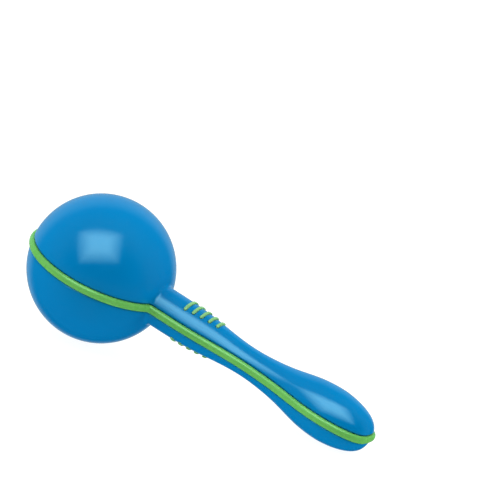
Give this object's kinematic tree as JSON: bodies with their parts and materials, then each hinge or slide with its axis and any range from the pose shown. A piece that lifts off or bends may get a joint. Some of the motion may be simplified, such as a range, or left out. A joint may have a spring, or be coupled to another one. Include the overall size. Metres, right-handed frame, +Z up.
{
  "type": "maraca",
  "caption": "Hand-held maraca: a hollow round head on a shaped handle, in half shells with a soft seam band, rubber grip ribs and loose rattle pellets inside.",
  "frame": {"origin": "on the table it lies on, under the middle of its length and width", "axes": "+X runs level from the head towards the end of the handle, +Z is up, +Y follows by the right-hand rule; the maraca lies with its head and the swelling of its handle on the table, so its own axis dips 9.2 degrees towards the handle"},
  "size_m": [0.2184, 0.083, 0.08],
  "materials": {
    "blue_plastic": "glossy moulded plastic",
    "green_rubber": "satin soft plastic",
    "pellet_plastic": "plain moulded beads"
  },
  "bodies": {
    "maraca": {"upper_shell": "blue_plastic", "lower_shell": "blue_plastic", "seam_band": "green_rubber", "upper_grip_ribs": "green_rubber", "lower_grip_ribs": "green_rubber"},
    "pellet_01": {"pellet_01": "pellet_plastic"},
    "pellet_02": {"pellet_02": "pellet_plastic"},
    "pellet_03": {"pellet_03": "pellet_plastic"},
    "pellet_04": {"pellet_04": "pellet_plastic"},
    "pellet_05": {"pellet_05": "pellet_plastic"},
    "pellet_06": {"pellet_06": "pellet_plastic"},
    "pellet_07": {"pellet_07": "pellet_plastic"},
    "pellet_08": {"pellet_08": "pellet_plastic"},
    "pellet_09": {"pellet_09": "pellet_plastic"},
    "pellet_10": {"pellet_10": "pellet_plastic"},
    "pellet_11": {"pellet_11": "pellet_plastic"},
    "pellet_12": {"pellet_12": "pellet_plastic"},
    "pellet_13": {"pellet_13": "pellet_plastic"},
    "pellet_14": {"pellet_14": "pellet_plastic"},
    "pellet_15": {"pellet_15": "pellet_plastic"},
    "pellet_16": {"pellet_16": "pellet_plastic"},
    "pellet_17": {"pellet_17": "pellet_plastic"},
    "pellet_18": {"pellet_18": "pellet_plastic"},
    "pellet_19": {"pellet_19": "pellet_plastic"}
  },
  "joints": [
    {"name": "pellet_01_travel", "type": "slide", "parent": "maraca", "child": "pellet_01", "axis": [0, 0, 1], "range_m": [0, 0.068]},
    {"name": "pellet_02_travel", "type": "slide", "parent": "maraca", "child": "pellet_02", "axis": [0, 0, 1], "range_m": [0, 0.0667]},
    {"name": "pellet_03_travel", "type": "slide", "parent": "maraca", "child": "pellet_03", "axis": [0, 0, 1], "range_m": [0, 0.0667]},
    {"name": "pellet_04_travel", "type": "slide", "parent": "maraca", "child": "pellet_04", "axis": [0, 0, 1], "range_m": [0, 0.0667]},
    {"name": "pellet_05_travel", "type": "slide", "parent": "maraca", "child": "pellet_05", "axis": [0, 0, 1], "range_m": [0, 0.0667]},
    {"name": "pellet_06_travel", "type": "slide", "parent": "maraca", "child": "pellet_06", "axis": [0, 0, 1], "range_m": [0, 0.0667]},
    {"name": "pellet_07_travel", "type": "slide", "parent": "maraca", "child": "pellet_07", "axis": [0, 0, 1], "range_m": [0, 0.0667]},
    {"name": "pellet_08_travel", "type": "slide", "parent": "maraca", "child": "pellet_08", "axis": [0, 0, 1], "range_m": [0, 0.0628]},
    {"name": "pellet_09_travel", "type": "slide", "parent": "maraca", "child": "pellet_09", "axis": [0, 0, 1], "range_m": [0, 0.0641]},
    {"name": "pellet_10_travel", "type": "slide", "parent": "maraca", "child": "pellet_10", "axis": [0, 0, 1], "range_m": [0, 0.0628]},
    {"name": "pellet_11_travel", "type": "slide", "parent": "maraca", "child": "pellet_11", "axis": [0, 0, 1], "range_m": [0, 0.0641]},
    {"name": "pellet_12_travel", "type": "slide", "parent": "maraca", "child": "pellet_12", "axis": [0, 0, 1], "range_m": [0, 0.0628]},
    {"name": "pellet_13_travel", "type": "slide", "parent": "maraca", "child": "pellet_13", "axis": [0, 0, 1], "range_m": [0, 0.0641]},
    {"name": "pellet_14_travel", "type": "slide", "parent": "maraca", "child": "pellet_14", "axis": [0, 0, 1], "range_m": [0, 0.0628]},
    {"name": "pellet_15_travel", "type": "slide", "parent": "maraca", "child": "pellet_15", "axis": [0, 0, 1], "range_m": [0, 0.0641]},
    {"name": "pellet_16_travel", "type": "slide", "parent": "maraca", "child": "pellet_16", "axis": [0, 0, 1], "range_m": [0, 0.0628]},
    {"name": "pellet_17_travel", "type": "slide", "parent": "maraca", "child": "pellet_17", "axis": [0, 0, 1], "range_m": [0, 0.0641]},
    {"name": "pellet_18_travel", "type": "slide", "parent": "maraca", "child": "pellet_18", "axis": [0, 0, 1], "range_m": [0, 0.0628]},
    {"name": "pellet_19_travel", "type": "slide", "parent": "maraca", "child": "pellet_19", "axis": [0, 0, 1], "range_m": [0, 0.0641]}
  ]
}
